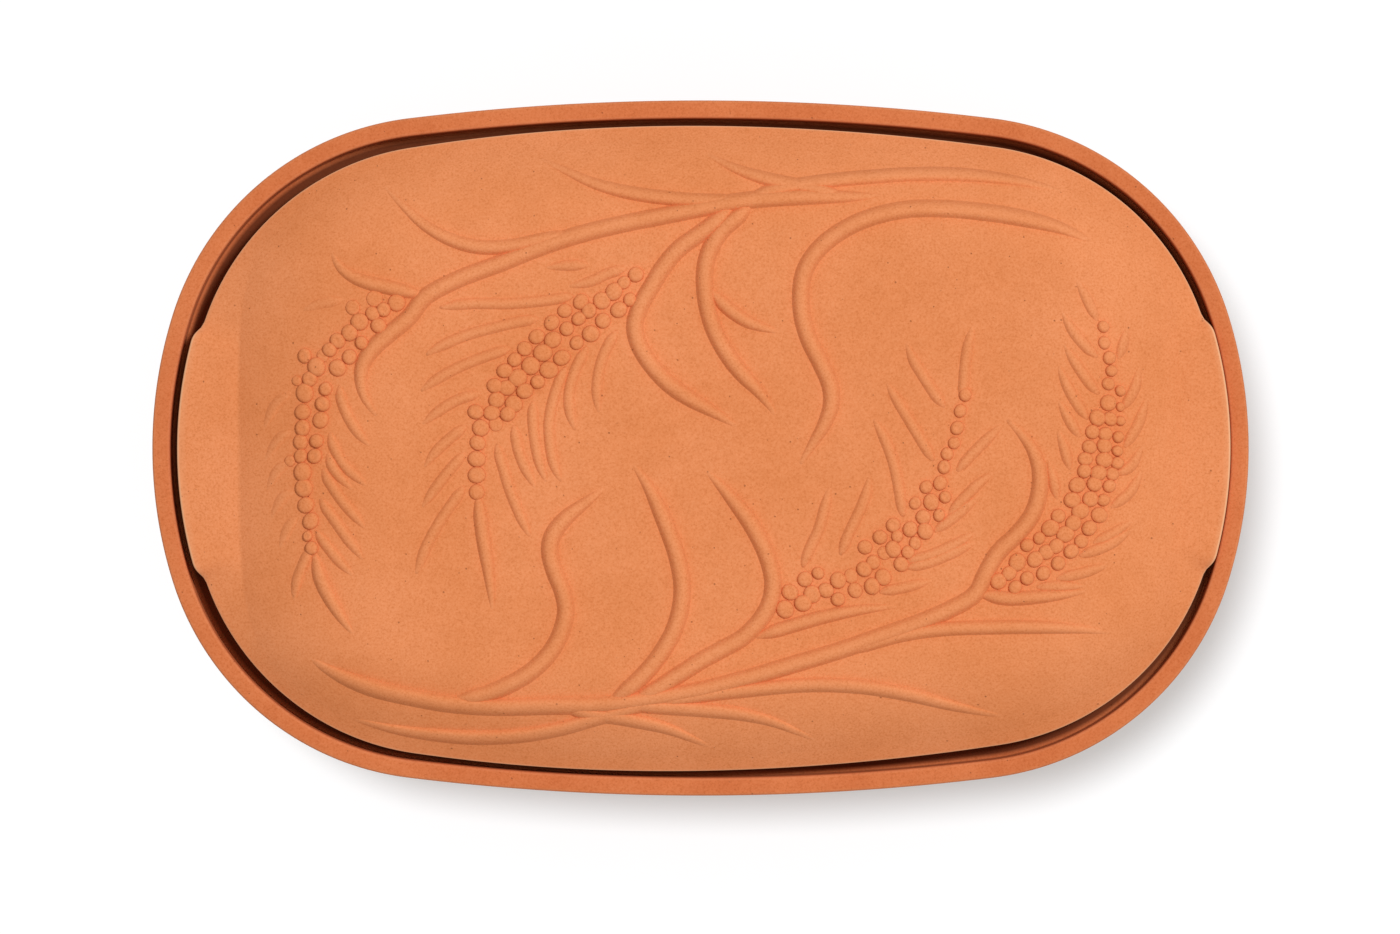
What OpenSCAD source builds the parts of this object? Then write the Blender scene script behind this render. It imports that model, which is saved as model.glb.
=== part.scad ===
// Oval clay bread pot: a tub with an inner ledge, and a low domed lid with two lugs
// and raised ears of grain. Millimetres, standing on its foot ring, +X along the length, +Z up.

/* [Pot outline] */
// Length of the pot over the rim
pot_length = 380; // [340:1:420]
// Width of the pot over the rim
pot_width = 241; // [215:1:265]
// Radius of the rim's end arcs
rim_end_radius = 155; // [140:1:170]
// Radius of the rim's long side arcs
rim_side_radius = 830; // [600:5:1000]
// Radius of the rim's shoulder arcs
rim_shoulder_radius = 98; // [90:1:105]

/* [Pot body] */
// Height of the rim above the table
pot_height = 140; // [110:1:170]
// How far the outer wall leans in from rim to foot
wall_lean = 9; // [4:0.5:14]
// Wall thickness above the floor
pot_wall = 10; // [8:0.5:13]
// Thickness of the floor
pot_floor = 10; // [8:0.5:14]
// Radius of the rounded lower edge
lower_edge_radius = 26; // [18:1:34]
// Height of the foot ring
foot_height = 3; // [2:0.5:5]
// Width of the foot ring
foot_width = 9; // [6:0.5:14]

/* [Rim and ledge] */
// Width of the flat rim
rim_width = 6.2; // [4.5:0.1:8]
// Rounding of the rim's two edges
rim_round = 1; // [0.6:0.1:2]
// How far the mouth narrows from rim to ledge
mouth_lean = 0.3; // [0.2:0.1:2]
// Depth of the ledge below the rim
ledge_depth = 12; // [8:0.5:16]
// Width of the ledge that carries the lid
ledge_width = 9.5; // [8.5:0.5:12]

/* [Lid outline] */
// Gap between lid and mouth at the middle of a long side
side_gap = 2.3; // [1:0.1:3]
// Gap between the lid's oval and the mouth at an end, beside the lug
end_gap = 3.8; // [2.5:0.1:5]
// Gap between a lug and the mouth
lug_gap = 1.4; // [0.5:0.1:2]
// Radius of the lid's end arcs
lid_end_radius = 150; // [138:1:164]
// Radius of the lid's long side arcs
lid_side_radius = 690; // [560:5:900]
// Radius of the lid's shoulder arcs
lid_shoulder_radius = 89; // [82:1:96]
// Length of a lug along the rim
lug_length = 91; // [80:1:92]
// Length of the curve that joins a lug to the oval
lug_curve = 11; // [7:0.5:14]
// Depth of a lug's flat pad from its edge to the dome
pad_depth = 18.7; // [14:0.1:22]
// Rounding where the dome's straight end turns into its oval side
turn_round = 8; // [4:0.5:12]

/* [Lid shape] */
// Height of the lid's edge above the ledge
edge_height = 13.5; // [9:0.5:17]
// Rounding of the lid's lip
lip_round = 0.8; // [0.6:0.1:2]
// Width of the bevel around the dome
bevel_width = 5; // [3.5:0.5:7]
// Rise of that bevel
bevel_rise = 3; // [2:0.5:4]
// Width of the dome's rounded side
side_width = 30.5; // [24:0.5:36]
// Rise of the dome's rounded side up to its flat top
side_rise = 13.5; // [10:0.5:22]
// Slope of the dome's straight ends as a share of its side's slope
end_share = 0.7; // [0.5:0.01:1]
// Wall thickness of the lid
lid_wall = 9; // [7:0.5:11]
// Width of the flat seat under the lid's edge
seat_width = 6.5; // [5.5:0.5:8]

/* [Seating of the lid] */
// How far the loose lid sits towards +X in its seat, as photographed
lid_shift = 1; // [0:0.1:1.1]
// How far the loose lid is turned in its seat, in degrees, as photographed
lid_turn = 0.4; // [-0.4:0.1:0.4]

/* [Ornament] */
// Height of the stems over the dome
stem_height = 2.2; // [1.2:0.1:3]
// Height of the leaves over the dome
leaf_height = 2; // [1:0.1:2.6]
// Height of the grains over the dome
grain_height = 2.8; // [1.6:0.1:3.4]

/* [Hidden] */
// Corners in each arc of a quarter outline
end_steps = 3;
shoulder_steps = 8;
side_steps = 2;
// Places of the lid's corners along an end arc, closer together where the lug's curve is
lug_shares = [0, 0.3, 0.55, 0.72, 0.8, 0.88, 0.95];
// Rounding steps of the lower edge
corner_steps = 5;
// Insets of the dome's rings as shares of the rounded side's width
dome_shares = [0, 0.12, 0.27, 0.45, 0.68, 1];
// How far raised work is rooted in the clay
root = 2.3;
// Grip width of a ridge's crest and a grain's crest as shares of their own width
crest_share = 0.4;
grain_crest_share = 0.55;
// Size of a ridge at its free end as a share of its full size
tip_share = 0.3;
// Radius of a grain as a share of the spacing of its row
grain_share = 0.48;

// The photograph's picture of the rim: its middle and its half sizes, in pixels
rim_middle_px = [700.5, 448];
rim_half_px = [548.5, 347.5];
// Share of its pictured size that the lid's top really has, being nearer than the rim to a far camera
lid_share = 0.9965;
// Least gap that the shifted lid's lug keeps from the mouth
least_gap = 0.3;

rim_half = [pot_length / 2, pot_width / 2];
rim_oval = [rim_half, rim_end_radius, rim_side_radius, rim_shoulder_radius];
mouth_inset = rim_width + mouth_lean;
lid_half = [rim_half.x - mouth_inset - end_gap, rim_half.y - mouth_inset - side_gap];
lid_oval = [lid_half, lid_end_radius, lid_side_radius, lid_shoulder_radius];
lug_reach = rim_half.x - mouth_inset - lug_gap;
pad_end = lug_reach - pad_depth;
shift = min(lid_shift, lug_gap - least_gap);
ledge_z = pot_height - ledge_depth;
edge_z = ledge_z + edge_height;
bevel_z = edge_z + bevel_rise;
floor_z = foot_height + pot_floor;
clay = [0.86, 0.5, 0.31];
rim_clay = [0.8, 0.43, 0.27];

pot();
lid();

// Middles of an oval's end, side and shoulder arcs in the first quarter
function end_middle(oval) = [oval[0].x - oval[1], 0];
function side_middle(oval) = [0, oval[0].y - oval[2]];
function shoulder_middle(oval) =
    let (
        a = end_middle(oval),
        across = side_middle(oval) - a,
        far = norm(across),
        ra = oval[1] - oval[3],
        rb = oval[2] - oval[3],
        along = (ra * ra - rb * rb + far * far) / (2 * far),
        off = sqrt(ra * ra - along * along),
        unit = across / far
    )
    a + along * unit + off * [-unit.y, unit.x];

function heading(v) = atan2(v.y, v.x);
function on_arc(middle, radius, angle) = middle + radius * [cos(angle), sin(angle)];
function mix(a, b, share) = a + (b - a) * share;
function smooth(share) = let (s = min(1, max(0, share))) s * s * (3 - 2 * s);

// The lesser of two lengths, rounded over where they are nearly equal
function rounded_min(a, b) =
    let (near = max(0, 1 - abs(a - b) / turn_round))
    min(a, b) - turn_round * near * near / 4;

// Corners of a quarter of an oval, set in from it, from the +X axis round to the +Y axis
function quarter(oval, inset, shares) =
    let (
        e = end_middle(oval),
        s = side_middle(oval),
        m = shoulder_middle(oval),
        first = heading(m - e),
        last = heading(m - s)
    )
    concat(
        [for (share = shares) on_arc(e, oval[1] - inset, first * share)],
        [for (i = [0 : shoulder_steps - 1])
            on_arc(m, oval[3] - inset, mix(first, last, i / shoulder_steps))],
        [for (i = [0 : side_steps]) on_arc(s, oval[2] - inset, mix(last, 90, i / side_steps))]
    );

even_shares = [for (i = [0 : end_steps - 1]) i / end_steps];
function raised(points, z) = [for (p = points) [p.x, p.y, z]];

// A quarter row mirrored round both axes into a closed ring
function around(q) =
    let (m = len(q) - 1)
    concat(
        [for (i = [0 : m - 1]) q[i]],
        [for (i = [m : -1 : 1]) [-q[i].x, q[i].y, q[i].z]],
        [for (i = [0 : m - 1]) [-q[i].x, -q[i].y, q[i].z]],
        [for (i = [m : -1 : 1]) [q[i].x, -q[i].y, q[i].z]]
    );

// Skin over rings of equal count, from a first middle point to a last one
module skin(rows, first_z, last_z) {
    rings = [for (row = rows) around(row)];
    n = len(rings[0]);
    k = len(rings);
    points = concat([for (ring = rings) for (p = ring) p], [[0, 0, first_z], [0, 0, last_z]]);
    faces = concat(
        [for (j = [0 : n - 1]) [n * k, j, (j + 1) % n]],
        [for (i = [0 : k - 2]) for (j = [0 : n - 1])
            let (a = i * n + j, b = i * n + (j + 1) % n) each [[a, a + n, b + n], [a, b + n, b]]],
        [for (j = [0 : n - 1]) [n * k + 1, (k - 1) * n + (j + 1) % n, (k - 1) * n + j]]
    );
    polyhedron(points = points, faces = faces, convexity = 6);
}

module pot() {
    foot_inset = wall_lean + lower_edge_radius;
    inner_radius = lower_edge_radius - pot_wall / 2;
    inner_inset = wall_lean + pot_wall;
    // Places of the section as inset and height, from under the floor, over the rim, to the inside
    section = concat(
        [
            [foot_inset + foot_width + foot_height / 2, foot_height],
            [foot_inset + foot_width, foot_height / 4],
            [foot_inset + foot_width - foot_height / 4, 0],
            [foot_inset + foot_height / 2, 0],
            [foot_inset + foot_height / 4, foot_height / 4],
            [foot_inset, foot_height]
        ],
        [for (i = [1 : corner_steps])
            let (a = 90 * i / corner_steps)
            [
                foot_inset - lower_edge_radius * sin(a),
                foot_height + lower_edge_radius * (1 - cos(a))
            ]],
        [
            [0, pot_height - rim_round],
            [rim_round / 3, pot_height - rim_round / 3],
            [rim_round, pot_height],
            [rim_width - rim_round, pot_height],
            [rim_width - rim_round / 3, pot_height - rim_round / 3],
            [rim_width, pot_height - rim_round],
            [mouth_inset, ledge_z],
            [mouth_inset + ledge_width - rim_round, ledge_z],
            [mouth_inset + ledge_width, ledge_z - rim_round]
        ],
        [for (i = [0 : corner_steps])
            let (a = 90 * i / corner_steps)
            [
                inner_inset + inner_radius * (1 - cos(a)),
                floor_z + inner_radius * (1 - sin(a))
            ]]
    );
    color(rim_clay)
        skin([for (p = section) raised(quarter(rim_oval, p.x, even_shares), p.y)],
            foot_height, floor_z);
}

// Share of lug at a place across the lid: 1 along the lug, 0 beside it
function lug_share(y) = smooth((lug_length / 2 - abs(y)) / lug_curve);

// Quarter outline of the lid's edge, set in from it: the oval, drawn out to the mouth at the lug
function edge_quarter(inset) =
    let (
        oval = quarter(lid_oval, inset, lug_shares),
        mouth = quarter(rim_oval, mouth_inset + lug_gap + inset, lug_shares)
    )
    [for (i = [0 : len(oval) - 1]) mix(oval[i], mouth[i], lug_share(oval[i].y))];

// Quarter row of the edge, its height rising to the pad's at the lug
function edge_row(inset, z, lug_z) =
    [for (p = edge_quarter(inset)) [p.x, p.y, mix(z, lug_z, lug_share(p.y))]];

// How far a place lies inside the lid's oval
function inset_at(place) =
    let (
        p = [abs(place.x), abs(place.y)],
        e = end_middle(lid_oval),
        s = side_middle(lid_oval),
        m = shoulder_middle(lid_oval),
        turn = heading(p - m),
        at_shoulder = turn > heading(m - e) && turn < heading(m - s)
    )
    at_shoulder ? lid_oval[3] - norm(p - m) : min(lid_oval[1] - norm(p - e), lid_oval[2] - norm(p - s));

// How far a place lies inside the dome's foot, which the pads cut straight at both ends
function depth_at(p) = rounded_min(inset_at(p) - bevel_width, (pad_end - abs(p.x)) * end_share);

// Height of the lid's top at a depth inside the dome's foot
function top_z(depth) =
    let (share = 1 - min(1, max(0, depth) / side_width))
    bevel_z + side_rise * (1 - share * share);
function lid_z(p) = top_z(depth_at(p));

// Ring of the dome's side at a depth inside its foot, set back from the surface by a wall
function dome_row(depth, wall) =
    let (
        slope = atan(2 * side_rise / side_width * (1 - depth / side_width)),
        back = depth + wall * sin(slope)
    )
    [for (p = quarter(lid_oval, bevel_width + back, lug_shares))
        [rounded_min(p.x, pad_end - back / end_share), p.y, top_z(depth) - wall * cos(slope)]];

module shell() {
    seat_inset = lip_round + seat_width;
    inside = concat(
        [for (i = [len(dome_shares) - 1 : -1 : 0]) dome_row(side_width * dome_shares[i], lid_wall)],
        [
            raised(quarter(lid_oval, seat_inset + lip_round, lug_shares), ledge_z + lip_round),
            raised(quarter(lid_oval, seat_inset, lug_shares), ledge_z)
        ]
    );
    outside = concat(
        [
            edge_row(lip_round, ledge_z, ledge_z),
            edge_row(0, ledge_z + lip_round, ledge_z + lip_round),
            edge_row(0, edge_z - lip_round, bevel_z - lip_round),
            edge_row(lip_round / 3, edge_z - lip_round / 3, bevel_z - lip_round / 3),
            edge_row(lip_round, edge_z, bevel_z)
        ],
        [for (share = dome_shares) dome_row(side_width * share, 0)]
    );
    skin(concat(inside, outside), lid_z([0, 0]) - lid_wall, lid_z([0, 0]));
}

// Places in the photograph's picture, in pixels, along the middle of each ridge
stems_px = [
    [[880, 196], [845, 197], [800, 197], [745, 201], [700, 209], [660, 217], [620, 225],
     [580, 235], [540, 248], [500, 264], [460, 279], [426, 297], [410, 317], [391, 333],
     [375, 347], [364, 362], [361, 378], [364, 395], [371, 408], [378, 417]],
    [[298, 649], [320, 665], [345, 678], [375, 689], [410, 697], [450, 704], [495, 707],
     [545, 706], [600, 705], [650, 699], [700, 690], [750, 677], [800, 662], [840, 650],
     [880, 636], [920, 622], [950, 609], [975, 594], [985, 574], [998, 552], [1014, 537],
     [1030, 518], [1038, 498], [1040, 475], [1034, 453], [1022, 435], [1005, 418]],
    [[742, 213], [722, 231], [710, 250], [705, 270], [705, 290], [708, 310], [715, 332],
     [727, 354], [742, 374], [758, 391], [771, 408], [775, 417]],
    [[716, 222], [697, 236], [678, 250], [663, 268], [652, 286], [641, 305], [635, 325],
     [639, 345], [652, 366], [670, 385], [692, 400], [715, 413], [738, 427]],
    [[1095, 243], [1060, 228], [1020, 218], [980, 212], [940, 209], [905, 210], [870, 218],
     [842, 231], [820, 248], [806, 268], [801, 290], [802, 315], [809, 340], [820, 362],
     [830, 385], [831, 405], [824, 425], [812, 445], [799, 466]],
    [[606, 487], [585, 503], [566, 518], [553, 535], [550, 552], [555, 572], [563, 592],
     [566, 612], [560, 635], [548, 655], [530, 672], [508, 685], [480, 696], [450, 702]],
    [[633, 464], [648, 486], [659, 508], [669, 532], [677, 556], [682, 582], [681, 605],
     [674, 630], [661, 653], [645, 673], [627, 690], [608, 704]],
    [[706, 470], [727, 493], [747, 518], [760, 540], [769, 562], [773, 582], [770, 602],
     [760, 620], [743, 637], [722, 649], [700, 661], [678, 675], [655, 690], [630, 702]]
];
leaves_px = [
    [[331, 240], [334, 258], [345, 272], [362, 281], [385, 286], [415, 293]],
    [[382, 184], [400, 203], [420, 222], [440, 235], [462, 244], [485, 248], [515, 246],
     [545, 240]],
    [[537, 157], [560, 168], [590, 182], [620, 191], [655, 197], [700, 201]],
    [[705, 153], [730, 166], [750, 174], [775, 181], [800, 186], [820, 190]],
    [[775, 190], [820, 182], [870, 177], [920, 174], [970, 175], [1020, 181], [1065, 191]],
    [[708, 288], [722, 303], [735, 314], [752, 324], [780, 333]],
    [[314, 552], [321, 580], [332, 602], [344, 621], [357, 639]],
    [[305, 560], [297, 580], [293, 603]],
    [[479, 503], [483, 535], [488, 565], [491, 590], [493, 612]],
    [[963, 390], [965, 365], [968, 345], [973, 325]],
    [[1128, 636], [1090, 630], [1040, 627], [990, 627], [940, 629], [900, 635], [860, 646]],
    [[1005, 717], [975, 711], [945, 704], [915, 696], [880, 689], [840, 685], [800, 685],
     [755, 689], [710, 694], [670, 700]],
    [[818, 741], [795, 731], [770, 721], [740, 714], [705, 710], [660, 707]],
    [[712, 748], [690, 738], [668, 729], [645, 723], [620, 718], [590, 714]],
    [[350, 719], [390, 729], [430, 735], [475, 738], [520, 736], [560, 729], [595, 719],
     [630, 709]],
    [[755, 637], [790, 626], [830, 615], [865, 609], [900, 606]],
    [[975, 592], [1005, 598], [1035, 597], [1065, 594], [1090, 590]]
];
// Each ear: the line of its grains from the stalk to the tip, rows across at three places,
// and the size of its grains, all in pixels
ears_px = [
    [[[396, 306], [372, 312], [348, 330], [328, 352], [316, 378], [311, 404], [309, 430],
      [306, 456], [303, 482], [309, 512], [312, 548]], 19],
    [[[636, 276], [608, 298], [580, 320], [553, 342], [532, 364], [513, 388], [495, 410],
      [480, 432], [477, 452], [476, 474], [477, 494]], 18],
    [[[788, 608], [812, 590], [842, 580], [872, 562], [895, 546], [914, 526], [930, 504],
      [940, 480], [946, 458], [953, 438], [958, 414], [963, 392]], 13],
    [[[996, 582], [1025, 566], [1052, 546], [1072, 520], [1086, 494], [1096, 468], [1103, 444],
      [1108, 420], [1107, 396], [1107, 370], [1105, 346], [1102, 326]], 14]
];
stem_px = 19.5;
leaf_px = 12;
// Shares of an ear's length where it narrows from three grains across to two and to one
across_shares = [0.5, 0.72];

// Place on the lid, before it is seated, of a pixel of the photograph
function on_lid(px) =
    let (
        p = (px - rim_middle_px) * lid_share,
        x = p.x * rim_half.x / rim_half_px.x - shift,
        y = -p.y * rim_half.y / rim_half_px.y
    )
    [x * cos(lid_turn) + y * sin(lid_turn), y * cos(lid_turn) - x * sin(lid_turn)];
function lid_size(px) = px * lid_share * rim_half.y / rim_half_px.y;

// Direction of a line of places at one of them
function run(path, i) =
    let (d = path[min(i + 1, len(path) - 1)] - path[max(i - 1, 0)])
    d / norm(d);

// Share of full size along a ridge, drawn to a point at its free ends
function taper(i, n) = mix(tip_share, 1, smooth(min(i, n - 1 - i) / 3));

// Four corners of a ridge's section: its rooted feet and its crest
function ridge_section(p, unit, half, height) =
    let (
        across = [-unit.y, unit.x],
        crest = half * crest_share,
        foot = half + (half - crest) * root / height
    )
    [for (side = [[-foot, -root], [-crest, height], [crest, height], [foot, -root]])
        let (q = p + across * side.x)
        [q.x, q.y, lid_z(q) + side.y]];

// A ridge along a line of places on the lid
module ridge(line_px, width_px, height) {
    path = [for (px = line_px) on_lid(px)];
    n = len(path);
    width = lid_size(width_px);
    sections = [for (i = [0 : n - 1])
        let (t = taper(i, n))
        ridge_section(path[i], run(path, i), width / 2 * t, height * t)];
    points = [for (section = sections) for (p = section) p];
    faces = concat(
        [[0, 2, 1], [0, 3, 2]],
        [for (i = [0 : n - 2]) for (j = [0 : 3])
            let (a = 4 * i + j, b = 4 * i + (j + 1) % 4) each [[a, b + 4, a + 4], [a, b, b + 4]]],
        [[4 * n - 4, 4 * n - 3, 4 * n - 2], [4 * n - 4, 4 * n - 2, 4 * n - 1]]
    );
    polyhedron(points = points, faces = faces, convexity = 6);
}

// One plump grain, rooted in the lid
module grain(p, turn, radius, height) {
    translate([p.x, p.y, lid_z(p)])
        rotate([0, 0, turn])
        hull() {
            translate([0, 0, -root]) cylinder(h = root, r = radius, $fn = 6);
            cylinder(h = height, r = radius * grain_crest_share, $fn = 6);
        }
}

function lengths(path, i = 1, total = 0) =
    i > len(path) ? [] : concat([total], i == len(path) ? [] :
        lengths(path, i + 1, total + norm(path[i] - path[i - 1])));
function place_along(path, lens, s) =
    let (i = max([0, for (k = [0 : len(path) - 2]) if (lens[k] <= s) k]))
    [mix(path[i], path[i + 1], (s - lens[i]) / (lens[i + 1] - lens[i])), run(path, i)];

// Rows of grains along an ear, three across, then two, then one at the tip
module ear(line_px, grain_px) {
    path = [for (px = line_px) on_lid(px)];
    lens = lengths(path);
    full = lens[len(lens) - 1];
    size = lid_size(grain_px);
    rows = floor(full / size);
    for (row = [0 : rows]) {
        share = row / rows;
        here = place_along(path, lens, full * share);
        across = [-here[1].y, here[1].x];
        count = share < across_shares[0] ? (row % 2 == 0 ? 3 : 2) : share < across_shares[1] ? 2 : 1;
        for (k = [0 : count - 1])
            grain(here[0] + across * size * (k - (count - 1) / 2), heading(here[1]),
                size * grain_share, grain_height);
    }
}

module lid() {
    color(clay)
        translate([shift, 0, 0])
        rotate([0, 0, lid_turn])
        union() {
            shell();
            for (line = stems_px) ridge(line, stem_px, stem_height);
            for (line = leaves_px) ridge(line, leaf_px, leaf_height);
            for (one = ears_px) ear(one[0], one[1]);
        }
}
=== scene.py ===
import functools
from math import atan, atan2, copysign, cos, pi, radians, sin, sqrt

import bmesh
import bpy
from mathutils import Matrix, Vector


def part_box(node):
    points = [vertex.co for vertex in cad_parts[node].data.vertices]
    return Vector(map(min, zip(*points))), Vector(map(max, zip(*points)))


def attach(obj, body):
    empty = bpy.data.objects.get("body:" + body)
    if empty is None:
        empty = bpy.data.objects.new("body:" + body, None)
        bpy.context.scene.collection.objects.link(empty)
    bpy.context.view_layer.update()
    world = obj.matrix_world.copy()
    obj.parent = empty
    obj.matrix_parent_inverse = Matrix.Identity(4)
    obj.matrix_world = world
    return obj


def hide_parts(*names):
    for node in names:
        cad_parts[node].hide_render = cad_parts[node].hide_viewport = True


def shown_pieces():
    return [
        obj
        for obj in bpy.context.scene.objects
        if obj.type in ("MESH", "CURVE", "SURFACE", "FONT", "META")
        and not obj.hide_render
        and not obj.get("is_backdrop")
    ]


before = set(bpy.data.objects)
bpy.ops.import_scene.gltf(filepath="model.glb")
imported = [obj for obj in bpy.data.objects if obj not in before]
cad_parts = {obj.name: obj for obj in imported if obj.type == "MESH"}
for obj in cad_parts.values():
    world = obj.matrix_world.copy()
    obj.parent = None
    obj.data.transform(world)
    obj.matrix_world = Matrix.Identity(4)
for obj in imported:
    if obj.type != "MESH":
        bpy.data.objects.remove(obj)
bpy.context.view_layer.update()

bl_info = {
    "name": "Clay bread pot",
    "version": (1, 0, 0),
    "blender": (4, 5, 0),
    "location": "3D View > Sidebar > Bread Pot",
    "description": "Models an oval clay bread pot with a domed lid that carries ears of grain",
    "category": "Object",
}

MM = 0.001
POT_LOW, POT_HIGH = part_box("pot")

# The photograph's picture of the rim: its middle and its half sizes, in pixels
RIM_MIDDLE_PX = Vector((700.5, 448))
RIM_HALF_PX = Vector((548.5, 347.5))
PICTURE_PX = Vector((1400, 934))
# Real size of the lid's top against its pictured size, being nearer to the camera than the rim
LID_SHARE = 0.9965

# Lines along the middle of the stems, read in pixels
STEMS_PX = (
    ((880, 196), (845, 197), (800, 197), (745, 201), (700, 209), (660, 217), (620, 225),
     (580, 235), (540, 248), (500, 264), (460, 279), (426, 297), (410, 317), (391, 333),
     (375, 347), (364, 362), (361, 378), (364, 395), (371, 408), (378, 417)),
    ((298, 649), (320, 665), (345, 678), (375, 689), (410, 697), (450, 704), (495, 707),
     (545, 706), (600, 705), (650, 699), (700, 690), (750, 677), (800, 662), (840, 650),
     (880, 636), (920, 622), (950, 609), (975, 594), (985, 574), (998, 552), (1014, 537),
     (1030, 518), (1038, 498), (1040, 475), (1034, 453), (1022, 435), (1005, 418)),
    ((1095, 243), (1060, 228), (1020, 218), (980, 212), (940, 209), (905, 210), (870, 218),
     (842, 231), (820, 248), (806, 268), (801, 290), (802, 315), (809, 340), (820, 362),
     (830, 385), (831, 405), (824, 425), (812, 445), (799, 466)),
)
# Lines along the middle of the branches, from the free tip to the stem
BRANCHES_PX = (
    ((775, 417), (771, 408), (758, 391), (742, 374), (727, 354), (715, 332), (708, 310),
     (705, 290), (705, 270), (710, 250), (722, 231), (742, 213), (752, 200)),
    ((738, 427), (715, 413), (692, 400), (670, 385), (652, 366), (639, 345), (635, 325),
     (641, 305), (652, 286), (663, 268), (678, 250), (697, 236), (716, 222), (735, 203)),
    ((606, 487), (585, 503), (566, 518), (553, 535), (550, 552), (555, 572), (563, 592),
     (566, 612), (560, 635), (548, 655), (530, 672), (508, 685), (480, 696), (450, 702)),
    ((633, 464), (648, 486), (659, 508), (669, 532), (677, 556), (682, 582), (681, 605),
     (674, 630), (661, 653), (645, 673), (627, 690), (608, 704)),
    ((706, 470), (727, 493), (747, 518), (760, 540), (769, 562), (773, 582), (770, 602),
     (760, 620), (743, 637), (722, 649), (700, 661), (678, 675), (655, 690), (630, 702)),
)
# Lines along the middle of the leaves, from the free tip to the stem or ear
LEAVES_PX = (
    ((331, 240), (334, 258), (345, 272), (362, 281), (385, 287), (412, 293), (426, 296)),
    ((382, 184), (400, 203), (420, 222), (440, 235), (462, 244), (485, 248), (515, 246),
     (545, 240), (580, 235)),
    ((537, 157), (560, 168), (590, 182), (620, 191), (655, 197), (700, 201), (745, 201)),
    ((705, 153), (730, 166), (750, 174), (775, 181), (800, 186), (820, 190), (845, 197)),
    ((1065, 191), (1020, 181), (970, 175), (920, 174), (870, 177), (820, 182), (775, 190),
     (745, 201)),
    ((780, 333), (752, 324), (735, 314), (722, 303), (708, 288)),
    ((357, 639), (344, 621), (332, 602), (321, 580), (314, 552)),
    ((493, 612), (491, 590), (488, 565), (483, 535), (478, 494)),
    ((1128, 636), (1090, 630), (1040, 627), (990, 627), (940, 629), (900, 635), (860, 646),
     (840, 650)),
    ((1005, 717), (975, 711), (945, 704), (915, 696), (880, 689), (840, 685), (800, 685),
     (755, 689), (710, 694), (670, 700), (650, 699)),
    ((818, 741), (795, 731), (770, 721), (740, 714), (705, 710), (660, 707), (620, 704)),
    ((712, 748), (690, 738), (668, 729), (645, 723), (620, 718), (590, 714), (560, 706)),
    ((350, 719), (390, 729), (430, 735), (475, 738), (520, 736), (560, 729), (595, 719),
     (630, 709), (660, 698)),
    ((900, 606), (865, 609), (830, 615), (790, 626), (755, 637)),
    ((1090, 590), (1065, 594), (1035, 597), (1005, 598), (975, 592)),
)
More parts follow.
